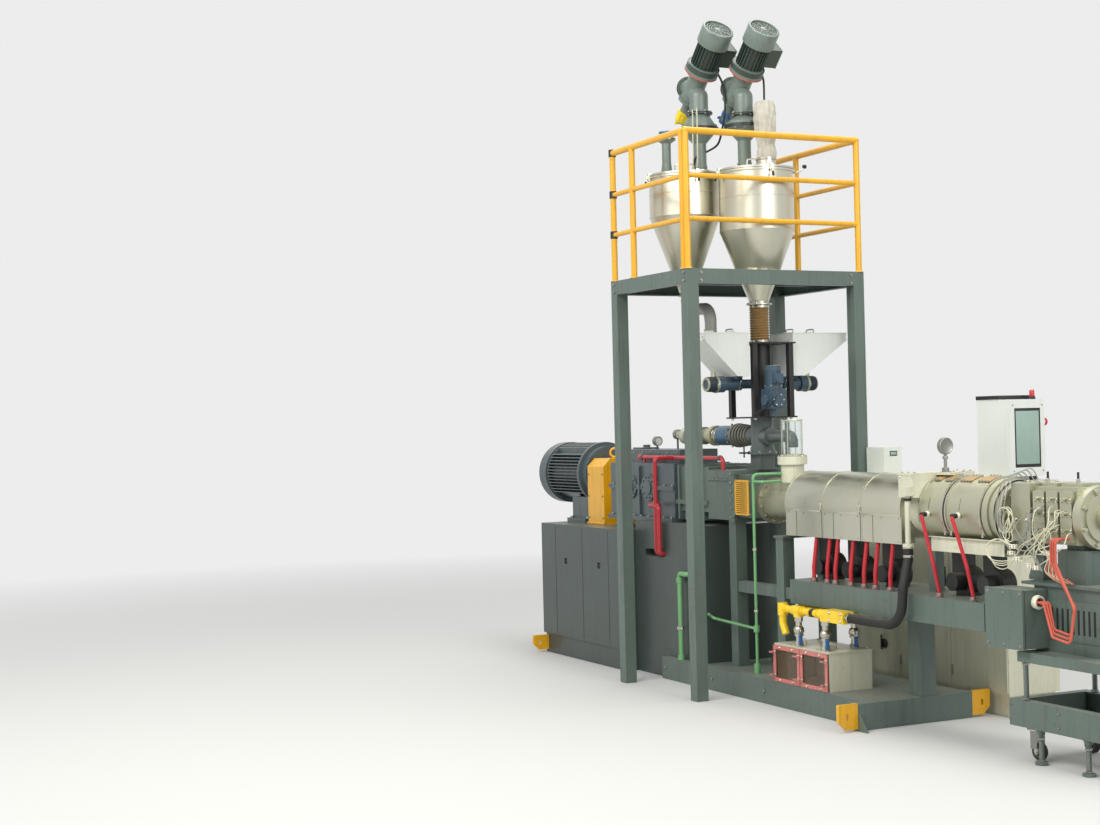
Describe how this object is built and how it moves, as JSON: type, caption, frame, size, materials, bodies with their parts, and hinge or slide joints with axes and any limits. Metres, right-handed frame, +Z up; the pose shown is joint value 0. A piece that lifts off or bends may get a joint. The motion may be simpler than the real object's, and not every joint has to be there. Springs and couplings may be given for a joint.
{
  "type": "twin-screw plastic extruder",
  "caption": "Plastic extruder: finned drive motor and gearbox, covered barrel with heaters, die head on a caster trolley, and a railed platform with feed hoppers.",
  "frame": {"origin": "on the floor under the barrel axis, between the platform's front posts; the underside of a cross beam of the skid lies there", "axes": "+X from the drive motor to the die, +Y away from the aisle side, +Z up"},
  "size_m": [6.105, 1.5399, 4.3033],
  "materials": {
    "structure_paint": "satin grey-green machine paint",
    "cabinet_paint": "satin dark grey-green paint",
    "gear_paint": "satin blue-grey paint",
    "safety_yellow": "gloss yellow paint",
    "polished_steel": "polished stainless sheet",
    "cast_aluminium": "cast, satin",
    "pale_paint": "satin beige paint",
    "white_paint": "satin off-white paint",
    "red_sleeve": "matt braided sleeve",
    "red_paint": "gloss red paint",
    "black_rubber": "matt",
    "black_paint": "satin black",
    "clear_glass": "clear",
    "window_frame": "clear panes in pink-red frames",
    "nickel": "plated pipe and valves",
    "manifold_yellow": "gloss",
    "pipe_green": "gloss green paint",
    "loader_paint": "satin grey-green paint",
    "motor_paint": "satin dark green paint",
    "cloth": "woven filter cloth",
    "bellows_cloth": "tan woven sleeve",
    "drive_blue": "satin blue-grey paint",
    "feeder_paint": "satin grey paint",
    "grey_plastic": "smooth grey plastic pipe",
    "brass_tone": "heat-tinted steel ring",
    "zinc": "zinc-plated fork",
    "tyre_black": "matt rubber"
  },
  "bodies": {
    "machine": {"skid_frame": "structure_paint", "lifting_lugs": "safety_yellow", "support_frame": "structure_paint", "drive_cabinet": "cabinet_paint", "main_motor": "gear_paint", "guards": "safety_yellow", "gearbox": "gear_paint", "distribution_box": "structure_paint", "oil_pipes": "red_paint", "barrel": "cast_aluminium", "barrel_covers": "polished_steel", "feed_collar": "pale_paint", "sight_glass": "clear_glass", "vent_box": "pale_paint", "vent_hose": "black_rubber", "band_heaters": "cast_aluminium", "heater_trough": "pale_paint", "cooling_blowers": "black_paint", "heater_leads": "red_sleeve", "adapter": "cast_aluminium", "die_body": "cast_aluminium", "die_ring": "brass_tone", "die_console": "structure_paint", "trolley_frame": "structure_paint", "junction_box": "structure_paint", "vacuum_tank": "pale_paint", "tank_lid": "pale_paint", "tank_windows": "window_frame", "tank_risers": "nickel", "vacuum_manifold": "manifold_yellow", "water_pipes": "pipe_green", "platform_frame": "structure_paint", "platform_deck": "structure_paint", "rail_aisle": "safety_yellow", "rail_front": "safety_yellow", "rail_far": "safety_yellow", "large_hopper": "polished_steel", "small_hopper": "polished_steel", "hopper_lids": "polished_steel", "loader_heads": "loader_paint", "loader_motors": "motor_paint", "filter_bag": "cloth", "bellows": "bellows_cloth", "feeder_frame": "black_paint", "feeder_drives": "drive_blue", "metering_screw": "feeder_paint", "dosing_hoppers": "white_paint", "dosing_lids": "white_paint", "transfer_pipe": "grey_plastic", "control_cabinet": "pale_paint", "operator_panel": "white_paint"},
    "fork_1": {"caster_fork_1": "zinc"},
    "wheel_1": {"caster_wheel_1": "tyre_black"},
    "fork_2": {"caster_fork_2": "zinc"},
    "wheel_2": {"caster_wheel_2": "tyre_black"},
    "fork_3": {"caster_fork_3": "zinc"},
    "wheel_3": {"caster_wheel_3": "tyre_black"},
    "fork_4": {"caster_fork_4": "zinc"},
    "wheel_4": {"caster_wheel_4": "tyre_black"}
  },
  "joints": [
    {"name": "caster_swivel_1", "type": "hinge", "parent": "machine", "child": "fork_1", "pos_m": [2.47, -0.17, 0.165], "axis": [0, 0, 1], "continuous": true},
    {"name": "caster_roll_1", "type": "hinge", "parent": "fork_1", "child": "wheel_1", "pos_m": [2.496, -0.17, 0.048], "axis": [0, 1, 0], "continuous": true},
    {"name": "caster_swivel_2", "type": "hinge", "parent": "machine", "child": "fork_2", "pos_m": [2.47, 0.17, 0.165], "axis": [0, 0, 1], "continuous": true},
    {"name": "caster_roll_2", "type": "hinge", "parent": "fork_2", "child": "wheel_2", "pos_m": [2.496, 0.17, 0.048], "axis": [0, 1, 0], "continuous": true},
    {"name": "caster_swivel_3", "type": "hinge", "parent": "machine", "child": "fork_3", "pos_m": [2.98, -0.17, 0.165], "axis": [0, 0, 1], "continuous": true},
    {"name": "caster_roll_3", "type": "hinge", "parent": "fork_3", "child": "wheel_3", "pos_m": [3.006, -0.17, 0.048], "axis": [0, 1, 0], "continuous": true},
    {"name": "caster_swivel_4", "type": "hinge", "parent": "machine", "child": "fork_4", "pos_m": [2.98, 0.17, 0.165], "axis": [0, 0, 1], "continuous": true},
    {"name": "caster_roll_4", "type": "hinge", "parent": "fork_4", "child": "wheel_4", "pos_m": [3.006, 0.17, 0.048], "axis": [0, 1, 0], "continuous": true}
  ]
}
